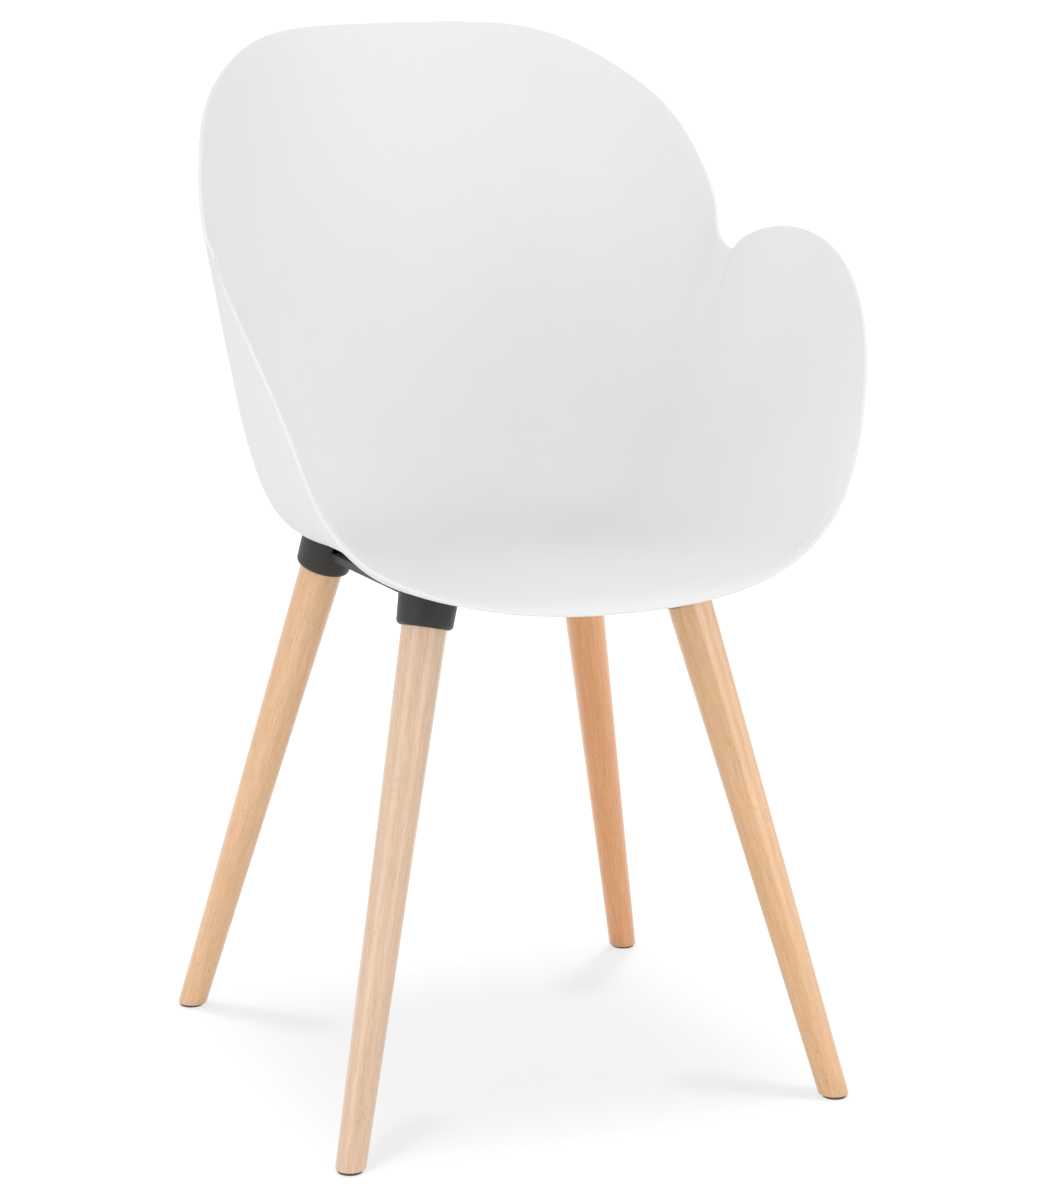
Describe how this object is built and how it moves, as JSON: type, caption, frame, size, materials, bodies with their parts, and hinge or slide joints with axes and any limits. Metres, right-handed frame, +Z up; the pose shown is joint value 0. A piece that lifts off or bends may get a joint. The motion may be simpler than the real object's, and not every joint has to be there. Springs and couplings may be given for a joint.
{
  "type": "dining chair",
  "caption": "Moulded plastic tub armchair with a tall rounded back and scooped arms, on splayed tapered wooden legs held in dark sockets under the seat.",
  "frame": {"origin": "on the floor, under the middle of the chair's overall box", "axes": "+Z up, the chair faces -Y, +X is the sitter's left"},
  "size_m": [0.5232, 0.515, 0.8396],
  "materials": {
    "shell": "satin white, fine moulded surface",
    "wood": "clear satin lacquer on beech",
    "socket": "satin charcoal",
    "frame": "black powder coat",
    "fastener": "zinc plated",
    "brass": "plain machined",
    "glide": "matt dark grey"
  },
  "bodies": {
    "root": {"foot_glide_front_left": "glide", "foot_glide_front_right": "glide", "foot_glide_rear_left": "glide", "foot_glide_rear_right": "glide", "frame_cross_front": "frame", "frame_cross_rear": "frame", "frame_rail_left": "frame", "frame_rail_right": "frame", "frame_screws": "fastener", "frame_washers": "fastener", "glide_nails": "fastener", "leg_bolts": "fastener", "leg_front_left": "wood", "leg_front_right": "wood", "leg_inserts": "brass", "leg_rear_left": "wood", "leg_rear_right": "wood", "leg_socket_front_left": "socket", "leg_socket_front_right": "socket", "leg_socket_rear_left": "socket", "leg_socket_rear_right": "socket", "leg_washers": "fastener", "seat_shell": "shell", "shell_inserts": "brass"}
  },
  "joints": []
}
